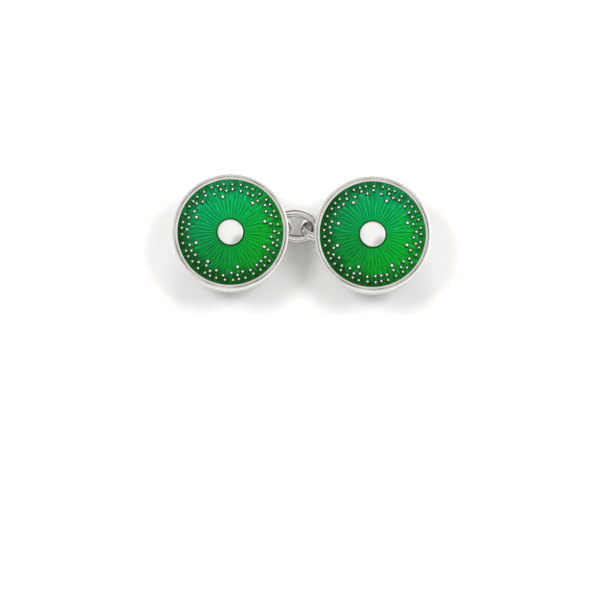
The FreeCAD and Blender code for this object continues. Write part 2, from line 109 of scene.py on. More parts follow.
class Graph:
    """A node tree, with short calls to add and join nodes."""

    def __init__(self, tree: bpy.types.NodeTree) -> None:
        """Keep the tree to work on."""
        self.tree = tree

    def feed(self, target: Socket, value: object) -> None:
        """Link an output to an input, or set the input's own value.

        Args:
            target: the input.
            value: an output socket or a plain value.
        """
        if isinstance(value, Socket):
            self.tree.links.new(value, target)
        else:
            target.default_value = value

    def fill(self, node: bpy.types.Node, **values: object) -> bpy.types.Node:
        """Set a node's properties and feed its sockets.

        Args:
            node: the node.
            values: what goes to each property, or to each socket, named with _ for a space.

        Returns:
            The node.
        """
        for name, value in values.items():
            socket = node.inputs.get(name.replace("_", " "))
            if socket is None:
                setattr(node, name, value)
            else:
                self.feed(socket, value)
        return node

    def add(self, kind: str, **values: object) -> bpy.types.Node:
        """Add a node of a kind and fill it."""
        return self.fill(self.tree.nodes.new(kind), **values)

    def calc(self, operation: str, *terms: object, clamp: bool = False) -> Socket:
        """Add a Math node.

        Args:
            operation: the Math node's operation.
            terms: numbers or output sockets, in the node's order.
            clamp: whether the result stays between 0 and 1.

        Returns:
            The node's output.
        """
        node = self.add("ShaderNodeMath", operation=operation, use_clamp=clamp)
        for socket, term in zip(node.inputs, terms):
            self.feed(socket, term)
        return node.outputs["Value"]

    def total(self, *products: tuple[object, object]) -> Socket:
        """Add up products.

        Args:
            products: pairs of numbers or output sockets.

        Returns:
            The sum's socket.
        """
        result = self.calc("MULTIPLY", *products[0])
        for product in products[1:]:
            result = self.calc("ADD", result, self.calc("MULTIPLY", *product))
        return result

    def spread(self, value: Socket, span: Point, to_low: float = 0.0, to_high: float = 1.0) -> Socket:
        """Map a span smoothly onto the range from to_low to to_high."""
        node = self.add("ShaderNodeMapRange", interpolation_type="SMOOTHSTEP", Value=value,
                        From_Min=span[0], From_Max=span[1], To_Min=to_low, To_Max=to_high)
        return node.outputs["Result"]

    def blend(self, factor: Socket, first: object, second: object) -> Socket:
        """Mix two colours.

        Args:
            factor: how much of the second colour, from 0 to 1.
            first: a colour or a colour socket.
            second: a colour or a colour socket.

        Returns:
            The mixed colour's socket.
        """
        node = self.add("ShaderNodeMix", data_type="RGBA", Factor=factor)
        for number, colour in zip(MIX_COLOURS, (first, second)):
            self.feed(node.inputs[number], (*colour, 1.0) if isinstance(colour, tuple) else colour)
        return node.outputs[MIX_RESULT]


class Paint(Graph):
    """A material's node tree: one Principled shader and what feeds it."""

    def __init__(self, name: str) -> None:
        """Start a material.

        Args:
            name: the material's name.
        """
        self.material = bpy.data.materials.new(name)
        self.material.use_nodes = True
        super().__init__(self.material.node_tree)

    def shade(self, **values: object) -> None:
        """Feed the shader's sockets, each named with _ for a space."""
        self.fill(self.tree.nodes["Principled BSDF"], **values)

    def place(self) -> Socket:
        """Give the point's place in the frame, in metres."""
        return self.add("ShaderNodeTexCoord").outputs["Object"]

    def dial(self) -> tuple[Socket, Socket, Socket]:
        """Find the point's place on its dial.

        Returns:
            Across, along and the reach from the dial's centre, in metres.
        """
        place = self.add("ShaderNodeUVMap", uv_map=DIAL_MAP).outputs["UV"]
        split = self.add("ShaderNodeSeparateXYZ", Vector=place)
        across, along = split.outputs["X"], split.outputs["Y"]
        return across, along, self.calc("SQRT", self.total((across, across), (along, along)))

    def stored(self, name: str) -> Socket:
        """Give a value that the mesh stores at its points."""
        return self.add("ShaderNodeAttribute", attribute_name=name).outputs["Fac"]

    def noise(self, place: Socket, scale: float, detail: float) -> Socket:
        """Give a noise value; scale counts waves per unit of the place, detail its finer octaves."""
        return self.add("ShaderNodeTexNoise", Vector=place, Scale=scale, Detail=detail).outputs[0]

    def bump(self, height: Socket, strength: float, depth: float) -> None:
        """Give the shader a fine relief; its height runs from 0 to 1 and its depth is in metres."""
        node = self.add("ShaderNodeBump", Height=height, Strength=strength, Distance=depth)
        self.shade(Normal=node.outputs["Normal"])


@dataclass(frozen=True)
class SilverFinish:
    """Silver with faint handling marks: a hazy polish, hairline scratches and a warm cast."""

    name: str
    colour: Colour
    warm_colour: Colour
    roughness: float
    haze: float
    scratch_depth: float
    cloud_scale: float = 260.0
    cloud_range: Point = (0.38, 0.68)
    rub_scale: float = 900.0
    rub_range: Point = (0.3, 0.75)
    scratch_scale: float = 2600.0
    scratch_stretch: Triple = (1.0, 14.0, 5.0)
    scratch_turn: Triple = (0.3, 0.2, 0.7)
    scratch_share: float = 0.25

    def material(self) -> Material:
        """Build the node material.

        Returns:
            The material.
        """
        paint = Paint(self.name)
        place = paint.place()
        warmth = paint.spread(paint.noise(place, self.cloud_scale, detail=3.0), self.cloud_range)
        rub = paint.noise(place, self.rub_scale, detail=4.0)
        stretched = paint.add("ShaderNodeMapping", Vector=place, Scale=self.scratch_stretch,
                              Rotation=self.scratch_turn)
        scratches = paint.noise(stretched.outputs["Vector"], self.scratch_scale, detail=2.0)
        paint.shade(Metallic=1.0, Base_Color=paint.blend(warmth, self.colour, self.warm_colour),
                    Roughness=paint.spread(rub, self.rub_range, self.roughness, self.roughness + self.haze))
        paint.bump(scratches, self.scratch_share, self.scratch_depth)
        return paint.material


@dataclass(frozen=True)
class WireFinish:
    """Drawn silver wire: light and dark draw lines along it, and a darker inner side of the loop, partly
    oxide and partly painted shade.
    """

    name: str
    light_colour: Colour
    dark_colour: Colour
    inner_oxide_and_shade_colour: Colour
    roughness: float
    line_depth: float
    line_stretch: Triple = (3.6, 3.6, 1.0)
    line_range: Point = (0.36, 0.62)
    line_share: float = 0.4
    inside_range: Point = (-0.98, -0.5)
    inside_share: float = 0.8

    def material(self) -> Material:
        """Build the node material.

        Returns:
            The material.
        """
        paint = Paint(self.name)
        around = paint.add("ShaderNodeAttribute", attribute_name=WIRE_MAP).outputs["Vector"]
        stretched = paint.add("ShaderNodeMapping", Vector=around, Scale=self.line_stretch)
        split = paint.add("ShaderNodeSeparateXYZ", Vector=around)
        lines = paint.noise(stretched.outputs["Vector"], scale=1.0, detail=3.0)
        metal = paint.blend(paint.spread(lines, self.line_range), self.dark_colour, self.light_colour)
        # The loop's inner side darkens: partly oxide, partly painted shade.
        inside = paint.spread(split.outputs["X"], self.inside_range, self.inside_share, 0.0)
        paint.shade(Metallic=1.0, Roughness=self.roughness,
                    Base_Color=paint.blend(inside, metal, self.inner_oxide_and_shade_colour))
        paint.bump(lines, self.line_share, self.line_depth)
        return paint.material


@dataclass(frozen=True)
class BrightCutFinish:
    """Silver freshly cut by a graver: painted highlights on the ridges, painted shade in the valleys, tool
    lines, and near the rim painted glints with painted shade between them.
    """

    name: str
    facet_colour: Colour
    dull_colour: Colour
    highlight_and_line_colour: Colour
    shade_and_line_colour: Colour
    roughness: float
    line_count: float
    line_length: float
    line_depth: float
    glint_count: float
    glint_length: float
    glint_reach: Point
    valley_shade_range: Point = (0.68, 0.95)
    ridge_highlight_range: Point = (0.04, 0.26)
    bright_line_range: Point = (0.58, 0.68)
    dark_line_range: Point = (0.3, 0.42)
    dark_line_share: float = 0.6
    line_share: float = 0.5
    glint_range: Point = (0.55, 0.61)
    gap_shade_range: Point = (0.34, 0.46)
    gap_shade_share: float = 0.65

    def material(self) -> Material:
        """Build the node material.

        Returns:
            The material.
        """
        paint = Paint(self.name)
        across, along, reach = paint.dial()
        angle = paint.calc("ARCTAN2", along, across)
        lines = self.strokes(paint, angle, reach, self.line_count, self.line_length)
        glints = self.strokes(paint, angle, reach, self.glint_count, self.glint_length)
        near_rim = paint.spread(reach, self.glint_reach)
        cut = paint.stored("cut")
        metal = paint.blend(paint.spread(paint.stored("tone"), (-1.0, 1.0)), self.dull_colour,
                            self.facet_colour)
        # Near the rim: painted glints, with painted shade in the gaps between them.
        gap_shade_share = paint.spread(glints, self.gap_shade_range, self.gap_shade_share, 0.0)
        glint_share = paint.spread(glints, self.glint_range)
        # Painted shade in the valleys and painted highlights on the ridges, set by the cut's depth; the
        # bright and dark tool lines use the same two colours.
        layers = ((paint.spread(cut, self.valley_shade_range), self.shade_and_line_colour),
                  (paint.spread(cut, self.ridge_highlight_range, 1.0, 0.0), self.highlight_and_line_colour),
                  (paint.spread(lines, self.bright_line_range), self.highlight_and_line_colour),
                  (paint.spread(lines, self.dark_line_range, self.dark_line_share, 0.0), self.shade_and_line_colour),
                  (paint.calc("MULTIPLY", gap_shade_share, near_rim), self.shade_and_line_colour),
                  (paint.calc("MULTIPLY", glint_share, near_rim), self.highlight_and_line_colour))
        for share, colour in layers:
            metal = paint.blend(share, metal, colour)
        paint.shade(Metallic=1.0, Roughness=self.roughness, Base_Color=metal)
        paint.bump(lines, self.line_share, self.line_depth)
        return paint.material

    def strokes(self, paint: Paint, angle: Socket, reach: Socket, count: float, length: float) -> Socket:
        """Give a noise drawn out along the rays; count is strokes in a radian, length is in metres."""
        polar = paint.add("ShaderNodeCombineXYZ", X=paint.calc("MULTIPLY", angle, count),
                          Y=paint.calc("DIVIDE", reach, length))
        return paint.noise(polar.outputs["Vector"], scale=1.0, detail=2.0)


@dataclass(frozen=True)
class EnamelFinish:
    """Clear glass enamel that drifts from a bluish to a leafy green, partly at random and partly as painted
    sheen; darker where it pools, partly for its depth and partly as painted shade, and darker along one side
    as painted shade.
    """

    name: str
    cool_colour: Colour
    leaf_colour: Colour
    deep_and_shade_colour: Colour
    roughness: float
    glass_index: float
    gloss: float
    inner_shade_reach: Point
    outer_shade_reach: Point
    radius: float
    shaded_side_angle: float
    cloud_scale: float = 300.0
    drift_along: float = -0.45
    drift_across: float = 0.18
    drift_cloud: float = 0.35
    drift_range: Point = (-0.15, 0.5)
    outer_shade_share: float = 0.62
    shaded_side_range: Point = (-0.9, 1.0)
    shaded_side_share: float = 0.5

    def material(self) -> Material:
        """Build the node material.

        Returns:
            The material.
        """
        paint = Paint(self.name)
        across, along, reach = paint.dial()
        cloud = paint.noise(paint.place(), self.cloud_scale, detail=2.0)
        # Painted sheen: the hue shifts across the face in a set direction, with random clouds mixed in.
        drift = paint.total((along, self.drift_along / self.radius),
                            (across, self.drift_across / self.radius), (cloud, self.drift_cloud))
        hue = paint.blend(paint.spread(drift, self.drift_range), self.cool_colour, self.leaf_colour)
        # Painted shade: the face darkens towards one side; the rings at the stud and the rim are partly
        # deeper enamel, partly painted shade.
        lean = paint.total((across, math.cos(self.shaded_side_angle) / self.radius),
                           (along, math.sin(self.shaded_side_angle) / self.radius))
        inner_pool_and_shade = paint.spread(reach, self.inner_shade_reach, 1.0, 0.0)
        outer_pool_and_shade = paint.spread(reach, self.outer_shade_reach, 0.0, self.outer_shade_share)
        painted_shade_side = paint.spread(lean, self.shaded_side_range, 0.0, self.shaded_side_share)
        pooled_and_shaded = paint.calc("MAXIMUM", inner_pool_and_shade, paint.calc("ADD", outer_pool_and_shade, painted_shade_side), clamp=True)
        paint.shade(Transmission_Weight=1.0, Roughness=self.roughness, IOR=self.glass_index,
                    Specular_IOR_Level=self.gloss, Base_Color=paint.blend(pooled_and_shaded, hue, self.deep_and_shade_colour))
        return paint.material


@dataclass(frozen=True)
class PipShadowFinish:
    """A painted shadow: the dark green shade of the enamel, drawn as a ring round each pip."""

    name: str
    colour: Colour
    edge_colour: Colour
    roughness: float = 0.5
    cloud_scale: float = 1500.0

    def material(self) -> Material:
        """Build the node material.

        Returns:
            The material.
        """
        paint = Paint(self.name)
        cloud = paint.noise(paint.place(), self.cloud_scale, detail=2.0)
        paint.shade(Roughness=self.roughness, Base_Color=paint.blend(cloud, self.colour, self.edge_colour))
        return paint.material


@dataclass(frozen=True)
class FloorFinish:
    """A white sheet that keeps the object's shadow; the eye and the metal see it a little brighter."""

    name: str
    colour: Colour
    lift: float
    roughness: float = 0.9

    def material(self) -> Material:
        """Build the node material.

        Returns:
            The material.
        """
        paint = Paint(self.name)
        rays = paint.add("ShaderNodeLightPath")
        seen = paint.calc("MAXIMUM", rays.outputs["Is Camera Ray"], rays.outputs["Is Glossy Ray"])
        seen = paint.calc("MAXIMUM", seen, rays.outputs["Is Transmission Ray"])
        paint.shade(Base_Color=(*self.colour, 1.0), Roughness=self.roughness, Specular_IOR_Level=0.0,
                    Emission_Color=(1.0, 1.0, 1.0, 1.0),
                    Emission_Strength=paint.calc("MULTIPLY", seen, self.lift))
        return paint.material


class Finishes:
    """Every material of the cufflink, made once."""

    def __init__(self) -> None:
        """Build the materials."""
        self.polished = SilverFinish("polished_silver", (0.95, 0.95, 0.945), (0.93, 0.925, 0.915),
                                     roughness=0.08, haze=0.06, scratch_depth=0.001 * MM).material()
        self.pip = SilverFinish("white_silver", (1.0, 1.0, 1.0), (0.98, 1.0, 1.0),
                                roughness=0.1, haze=0.08, scratch_depth=0.001 * MM).material()
        self.worn = SilverFinish("worn_silver", (0.76, 0.745, 0.725), (0.67, 0.655, 0.63),
                                 roughness=0.07, haze=0.05, scratch_depth=0.0004 * MM).material()
        self.band = SilverFinish("band_silver", (0.82, 0.8, 0.77), (0.68, 0.66, 0.62),
                                 roughness=0.1, haze=0.12, scratch_depth=0.002 * MM).material()
        # The dark seam between rim and tray: partly oxidised silver, partly painted shade.
        self.tarnish_and_shade = SilverFinish("seam_tarnish", (0.8, 0.77, 0.72), (0.1, 0.085, 0.06),
                                    roughness=0.2, haze=0.2, scratch_depth=0.002 * MM).material()
        # The middle link's wire: a darker copy of the links' wire; its random draw lines are real, its lower
        # colours are painted shade from the faces beside it.
        self.wire = WireFinish("drawn_silver_with_painted_shade", (0.88, 0.85, 0.82), (0.3, 0.275, 0.255), (0.16, 0.14, 0.12),
                               roughness=0.14, line_depth=0.01 * MM).material()
        # The links' wire: its inner colour is partly oxide and partly painted shade.
        self.link = WireFinish("bright_wire", (0.96, 0.95, 0.94), (0.6, 0.58, 0.56), (0.3, 0.28, 0.26),
                               roughness=0.1, line_depth=0.006 * MM).material()
        self.plain = SilverFinish("plain_silver", (0.9, 0.895, 0.885), (0.85, 0.835, 0.81),
                                  roughness=0.16, haze=0.14, scratch_depth=0.006 * MM).material()
        # Engraved silver with painted highlights on its ridges and glints, and painted shade in its valleys
        # and gaps.
        self.engraved = BrightCutFinish(
            "engraved_silver", (0.65, 0.65, 0.4), (0.56, 0.57, 0.34), (0.9, 1.0, 1.0), (0.36, 0.38, 0.22),
            roughness=0.14, line_count=44.0, line_length=2.2 * MM, line_depth=0.01 * MM,
            glint_count=15.0, glint_length=1.6 * MM, glint_reach=(4.2 * MM, 5.2 * MM)).material()
        # The enamel's deep colour is partly deeper enamel and partly painted shade at the stud, the rim and
        # one side; its hue drift is partly painted sheen.
        self.enamel = EnamelFinish(
            "green_enamel", (0.00004, 0.69, 0.27), (0.00004, 0.67, 0.055), (0.006, 0.13, 0.017),
            roughness=0.02, glass_index=1.16, gloss=0.5, inner_shade_reach=(1.86 * MM, 2.06 * MM),
            outer_shade_reach=(4.2 * MM, 7.1 * MM), radius=7.2 * MM, shaded_side_angle=math.radians(207)).material()
        # Painted shadow: a dark green ring drawn round each pip at the enamel's top.
        self.seat = PipShadowFinish("pip_shadow_ring", (0.012, 0.05, 0.016), (0.006, 0.08, 0.026)).material()


def wobble(number: int, kind: Uneven) -> float:
    """Give a settled uneven value from -1 to 1 for a numbered ray."""
    return math.sin(UNEVEN_NUMBER * number * number + UNEVEN_KIND * kind.value)


def smooth_step(low: float, high: float, value: float) -> float:
    """Rise smoothly from 0 at low to 1 at high."""
    part = min(max((value - low) / (high - low), 0.0), 1.0)
    return part * part * (3 - 2 * part)


def hinge(name: str) -> tuple[Vector, Vector]:
    """Give a hinge's place and direction in the frame."""
    found = next(joint for joint in frame["joints"] if joint["name"] == name)
    return Vector(found["pos_m"]), Vector(found["axis"])


def rounded(corners: Sequence[Triple], steps: int = 7) -> list[Point]:
    """Round the corners of a closed section.

    Args:
        corners: across, up and rounding radius of each corner.
        steps: points on each rounded corner.

    Returns:
        The section's points, with a guard point on each side of every rounding.
    """
    points: list[Point] = []
    count = len(corners)
    for index, (x, y, radius) in enumerate(corners):
        here = Vector((x, y))
        before = (Vector(corners[index - 1][:2]) - here).normalized()
        after = (Vector(corners[(index + 1) % count][:2]) - here).normalized()
        half = before.angle(after) / 2
        back_off = radius / math.tan(half)
        centre = here + (before + after).normalized() * (radius / math.sin(half))
        start = here + before * back_off - centre
        finish = here + after * back_off - centre
        sweep = start.angle_signed(finish)
        points.append(tuple(here + before * back_off * GUARD))
        for step in range(steps + 1):
            turned = start.copy()
            turned.rotate(Matrix.Rotation(-sweep * step / steps, 2))
            points.append(tuple(centre + turned))
        points.append(tuple(here + after * back_off * GUARD))
    return points


def lathe(section: Sequence[Point], segments: int, closed: bool = True) -> Mesh:
    """Turn a section about Z.

    Args:
        section: radius and height of each point, in metres.
        segments: steps round the turn.
        closed: whether the last point joins the first; an open section starts and ends on the axis.

    Returns:
        The mesh.
    """
    vertices: list[Triple] = []
    rings: list[list[int]] = []
    for radius, height in section:
        ring = []
        for step in range(1 if radius < ON_AXIS else segments):
            angle = FULL_TURN * step / segments
            ring.append(len(vertices))
            vertices.append((radius * math.cos(angle), radius * math.sin(angle), height))
        rings.append(ring)
    faces: list[list[int]] = []
    pairs = list(zip(rings, rings[1:] + rings[:1])) if closed else list(zip(rings, rings[1:]))
    for ring, following in pairs:
        for step in range(segments):
            after = (step + 1) % segments
            corners = [ring[step % len(ring)], ring[after % len(ring)],
                       following[after % len(following)], following[step % len(following)]]
            faces.append(list(dict.fromkeys(corners)))
    mesh = bpy.data.meshes.new("turned")
    mesh.from_pydata(vertices, [], faces)
    return mesh


def tube(path: Sequence[Vector], across: Vector, radii: Sequence[float], segments: int,
         closed: bool) -> Mesh:
    """Draw a round wire along a flat path.

    Args:
        path: the wire's centre points, in metres.
        across: the normal of the plane that the path lies in.
        radii: the wire's radius at each point.
        segments: steps round the wire.
        closed: whether the path's end joins its start; an open one is capped.

    Returns:
        The mesh.
    """
    vertices: list[Triple] = []
    around: list[float] = []
    count = len(path)
    for index, point in enumerate(path):
        before = path[index - 1] if closed or index > 0 else point
        after = path[(index + 1) % count] if closed or index < count - 1 else point
        outward = (after - before).normalized().cross(across)
        for step in range(segments):
            angle = FULL_TURN * step / segments
            offset = outward * math.cos(angle) + across * math.sin(angle)
            vertices.append(tuple(point + offset * radii[index]))
            around += (math.cos(angle), math.sin(angle), math.sin(FULL_TURN * index / count))
    faces = []
    for index in range(count if closed else count - 1):
        following = (index + 1) % count
        for step in range(segments):
            after = (step + 1) % segments
            faces.append([index * segments + step, following * segments + step,
                          following * segments + after, index * segments + after])
    if not closed:
        faces.append(list(range(segments)))
        faces.append([(count - 1) * segments + step for step in reversed(range(segments))])
    mesh = bpy.data.meshes.new("wire")
    mesh.from_pydata(vertices, [], faces)
    mesh.attributes.new(WIRE_MAP, "FLOAT_VECTOR", "POINT").data.foreach_set("vector", around)
    return mesh


def arc(centre: Point, radius: float, start: float, finish: float, steps: int) -> list[Point]:
    """Give points along an arc.

    Args:
        centre: the arc's centre.
        radius: the arc's radius.
        start: its first angle, in degrees.
        finish: its last angle, in degrees.
        steps: the number of steps.

    Returns:
        The points, both ends included.
    """
    points = []
    for step in range(steps + 1):
        angle = math.radians(start + (finish - start) * step / steps)
        points.append((centre[0] + radius * math.cos(angle), centre[1] + radius * math.sin(angle)))
    return points


def merged(meshes: Sequence[tuple[Mesh, Matrix]]) -> Mesh:
    """Join placed meshes into one mesh of separate shells.

    Args:
        meshes: each mesh and its place.

    Returns:
        The joined mesh; a face keeps its own material number.
    """
    vertices: list[Triple] = []
    faces: list[list[int]] = []
    numbers: list[int] = []
    for mesh, place in meshes:
        base = len(vertices)
        vertices.extend(tuple(place @ vertex.co) for vertex in mesh.vertices)
        for polygon in mesh.polygons:
            faces.append([base + index for index in polygon.vertices])
            numbers.append(polygon.material_index)
    joined = bpy.data.meshes.new("joined")
    joined.from_pydata(vertices, [], faces)
    joined.polygons.foreach_set("material_index", numbers)
    return joined


def map_dial(mesh: Mesh) -> None:
    """Store each corner's place on the dial, so that finishes turn with it.

    Args:
        mesh: a mesh in its dial's axes.
    """
    layer = mesh.uv_layers.new(name=DIAL_MAP)
    for loop in mesh.loops:
        layer.data[loop.index].uv = mesh.vertices[loop.vertex_index].co.xy


def add_piece(name: str, mesh: Mesh, materials: Sequence[Material], place: Matrix, body: str,
              sharp_angle: float = SHARP_ANGLE) -> None:
    """Put a mesh in the scene in the place of its CAD node, riding on its body.

    Args:
        name: the CAD node that the piece stands for.
        mesh: its mesh, in its own axes.
        materials: its materials, in order.
        place: where its axes stand in the frame.
        body: the body that carries it.
        sharp_angle: edges that turn by more degrees than this stay crisp.
    """
    mesh.name = name + "_mesh"
    mesh.validate()
    for material in materials:
        mesh.materials.append(material)
    mesh.shade_smooth()
    mesh.set_sharp_from_angle(angle=math.radians(sharp_angle))
    mesh.transform(place)
    piece = bpy.data.objects.new(name + "_dressed", mesh)
    bpy.context.scene.collection.objects.link(piece)
    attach(piece, body)
    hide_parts(name)
    LOG.info("%s: %d faces on %s", name, len(mesh.polygons), body)


@dataclass(frozen=True)
class Sunburst:
    """Engraved rays of a dial: shallow V cuts that part in two towards the rim."""

    rays: int = 48
    part_start: float = 4.0 * MM
    part_end: float = 5.2 * MM
    slope: float = 0.15
    slope_spread: float = 0.1
    valley_spread: float = 0.06
    ridge_spread: float = 0.08
    steps_per_ray: int = 16

    def cut(self, radius: float, angle: float) -> Triple:
        """Give the engraving at a place of the dial.

        Args:
            radius: the distance from the dial's centre.
            angle: the direction, in radians.

        Returns:
            The depth below the dial's level in metres, the place in the cut from 0 on a ridge to 1 in a
            valley, and the ray's tone from -1 to 1.
        """
        turn = angle / FULL_TURN * self.rays
        number = math.floor(turn)
        if turn < self.ridge(number):
            number -= 1
        elif turn >= self.ridge(number + 1):
            number += 1
        part = (turn - self.ridge(number)) / (self.ridge(number + 1) - self.ridge(number))
        number %= self.rays
        half_width = math.pi * radius / self.rays
        steep = self.slope * (1 + self.slope_spread * wobble(number, Uneven.SLOPE))
        single = self.vee(part, 0.5 + self.valley_spread * wobble(number, Uneven.VALLEY))
        half = 2 * part
        second = int(half >= 1)
        valley = 0.5 + self.valley_spread * wobble(2 * number + second, Uneven.HALF_VALLEY)
        double = self.vee(half - second, valley)
        share = smooth_step(self.part_start, self.part_end, radius)
        depth = (single * (1 - share) + double * share / 2) * half_width * steep
        return depth, single * (1 - share) + double * share, wobble(2 * number + second, Uneven.TONE)

    def ridge(self, number: int) -> float:
        """Give where the ridge before a ray stands, counted in rays."""
        return number + self.ridge_spread * wobble(number % self.rays, Uneven.RIDGE)

    def vee(self, part: float, valley: float) -> float:
        """Give the depth share of a V cut, 0 at its ridges and 1 in its valley."""
        return part / valley if part < valley else (1 - part) / (1 - valley)


@dataclass(frozen=True)
class PipRow:
    """One loose row of pips round the dial: its reach and sway as shares of the enamel's radius."""

    count: int
    share: float
    sway: float
    radius: float
    phase: float


@dataclass
class Face:
    """One round face: rim, back, engraved tray, enamel, pips, stud and eye."""

    side: Side
    finishes: Finishes
    dial_turn: float
    eye_turn: float
    rim_radius: float = 8.0 * MM
    rim_bore: float = 7.6 * MM
    rim_under: float = 0.1 * MM
    rim_top: float = 3.5 * MM
    rim_round: float = 0.26 * MM
    rim_low_round: float = 0.3 * MM
    rim_worn_depth: float = 0.015 * MM
    back_top: float = 0.6 * MM
    back_round: float = 0.25 * MM
    fine_round: float = 0.02 * MM
    tray_radius: float = 7.58 * MM
    tray_under: float = 2.5 * MM
    tray_floor: float = 3.0 * MM
    tray_well: float = 7.17 * MM
    wall_foot: float = 0.1 * MM
    crest_radius: float = 7.33 * MM
    crest_level: float = 3.5 * MM
    crest_round: float = 0.04 * MM
    crest_steps: int = 5
    floor_steps: int = 24
    ray_start: float = 1.6 * MM
    seam_round: float = 0.05 * MM
    seam_share: float = 0.9
    enamel_radius: float = 7.2 * MM
    enamel_bore: float = 1.82 * MM
    enamel_top: float = 3.42 * MM
    enamel_sink: float = 0.14 * MM
    enamel_overlap: float = 0.015 * MM
    enamel_steps: int = 12
    meniscus: float = 0.03 * MM
    climb_share: float = 0.3
    outer_climb: Point = (0.05 * MM, 0.16 * MM)
    inner_climb: Point = (0.03 * MM, 0.1 * MM)
    stud_radius: float = 1.75 * MM
    stud_side: float = 3.52 * MM
    stud_top: float = 3.77 * MM
    stud_lip: float = 0.06 * MM
    lip_turn: Point = (0.2, 0.4)
    dome_share: float = 0.97
    dome_steps: int = 16
    stud_segments: int = 96
    stud_sharp_angle: float = 60.0
    peg_radius: float = 0.5 * MM
    peg_hole: float = 0.52 * MM
    peg_end: float = 2.08 * MM
    pip_proud: float = 0.05 * MM
    pip_crown: float = 0.82
    pip_dome: tuple[Point, ...] = ((0.98, 0.7), (0.9, 0.94), (0.0, 1.0))
    # The ring of painted shadow round each pip reaches this far past its crown.
    pip_shadow_ring: float = 0.13 * MM
    shadow_ring_rise: float = 0.004 * MM
    shadow_ring_bore: float = 0.9
    pip_segments: int = 20
    pip_shift: float = 0.16
    pip_shift_turn: float = 4.7
    pip_sway_turn: float = 2.9
    eye_wire: float = 0.5 * MM
    eye_half: float = 2.6 * MM
    eye_bend: float = 0.9 * MM
    eye_bend_steps: int = 16
    eye_segments: int = 40
    leg_step: float = 0.02 * MM
    leg_points: int = 7
    foot_flat: float = 0.12 * MM
    solder: float = 0.16 * MM
    solder_height: float = 0.12 * MM
    segments: int = 192
    sunburst: Sunburst = Sunburst()
    pip_rows: tuple[PipRow, ...] = (PipRow(41, 0.915, 0.006, 0.15 * MM, 0.0),
                                    PipRow(39, 0.808, 0.030, 0.17 * MM, 0.4),
                                    PipRow(8, 0.690, 0.012, 0.21 * MM, 2.0))

    def node(self, piece: str) -> str:
        """Give the CAD node's name of one of this face's pieces."""
        return f"{self.side.value}_{piece}"

    def place(self, turn: float) -> Matrix:
        """Give the place of axes on the underside of the back, turned about the face's axis."""
        low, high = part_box(self.node("back_plate"))
        return (Matrix.Translation(((low.x + high.x) / 2, (low.y + high.y) / 2, low.z))
                @ Matrix.Rotation(turn, 4, "Z"))

    def put(self, piece: str, mesh: Mesh, materials: Sequence[Material], slot: Slot, turn: float = 0.0,
            sharp_angle: float = SHARP_ANGLE) -> None:
        """Add one of this face's pieces, turned about the face's axis."""
        add_piece(self.node(piece), mesh, materials, self.place(turn), self.node("face"), sharp_angle)

    def build_rim(self) -> None:
        """Build the outer band: worn top, polished rounding, plain wall and a dark seam, partly oxidised and
        partly painted shade.
        """
        section = rounded(((self.rim_bore, self.rim_under, self.seam_round),
                           (self.rim_radius, self.rim_under, self.rim_low_round),
                           (self.rim_radius, self.rim_top, self.rim_round),
                           (self.rim_bore, self.rim_top, self.seam_round)))
        mesh = lathe(section, self.segments)
        worn, polished, band, tarnish_and_shade = range(4)
        for polygon in mesh.polygons:
            height = polygon.center.z
            polygon.material_index = polished if height < self.rim_top - self.rim_worn_depth else worn
            if height < self.rim_top - self.rim_round:
                polygon.material_index = band
            # The seam's dark band: partly oxidised silver, partly painted shade where rim and tray meet.
            if polygon.center.xy.length < self.rim_bore + self.seam_share * self.seam_round:
                polygon.material_index = tarnish_and_shade
        self.put("rim_ring", mesh, (self.finishes.worn, self.finishes.polished, self.finishes.band,
                                    self.finishes.tarnish_and_shade), Slot.POLISHED)

    def build_back(self) -> None:
        """Build the plain back disc."""
        inner = self.rim_bore / 2
        edge = rounded(((inner, 0.0, self.fine_round), (self.rim_bore, 0.0, self.back_round),
                        (self.rim_bore, self.back_top, self.fine_round),
                        (inner, self.back_top, self.fine_round)))
        outer = [point for point in edge if point[0] > self.rim_bore - 2 * self.back_round]
        mesh = lathe([(0.0, 0.0), *outer, (0.0, self.back_top)], self.segments, closed=False)
        self.put("back_plate", mesh, (self.finishes.plain,), Slot.PLAIN)

    def build_tray(self) -> None:
        """Build the tray with its bevelled wall and engraved floor."""
        wall = [(self.peg_hole, self.tray_under), (self.tray_radius, self.tray_under)]
        crest = rounded(((self.tray_radius, self.tray_under, self.fine_round),
                         (self.tray_radius, self.crest_level, self.seam_round),
                         (self.crest_radius, self.crest_level, self.crest_round),
                         (self.enamel_radius, self.enamel_top, self.fine_round),
                         (self.tray_well, self.tray_floor, self.fine_round)), self.crest_steps)
        wall_level = self.tray_floor + self.wall_foot
        wall.extend(point for point in crest if point[1] > wall_level)
        steps = self.floor_steps
        floor = [(self.tray_well * (1 - part / steps) + self.ray_start * part / steps, self.tray_floor)
                 for part in range(steps + 1)]
        section = [*wall, *floor, (self.peg_hole, self.tray_floor)]
        segments = self.sunburst.rays * self.sunburst.steps_per_ray
        mesh = lathe(section, segments)
        cuts = [0.0] * len(mesh.vertices)
        tones = cuts.copy()
        for index in range(len(wall) * segments, (len(wall) + len(floor)) * segments):
            number, step = divmod(index, segments)
            angle = FULL_TURN * step / segments
            depth, cuts[index], tones[index] = self.sunburst.cut(section[number][0], angle)
            mesh.vertices[index].co.z -= depth
        for name, values in (("cut", cuts), ("tone", tones)):
            mesh.attributes.new(name, "FLOAT", "POINT").data.foreach_set("value", values)
        engraved, worn, tarnish_and_shade = range(3)
        for polygon in mesh.polygons:
            polygon.material_index = worn if polygon.center.z > wall_level else engraved
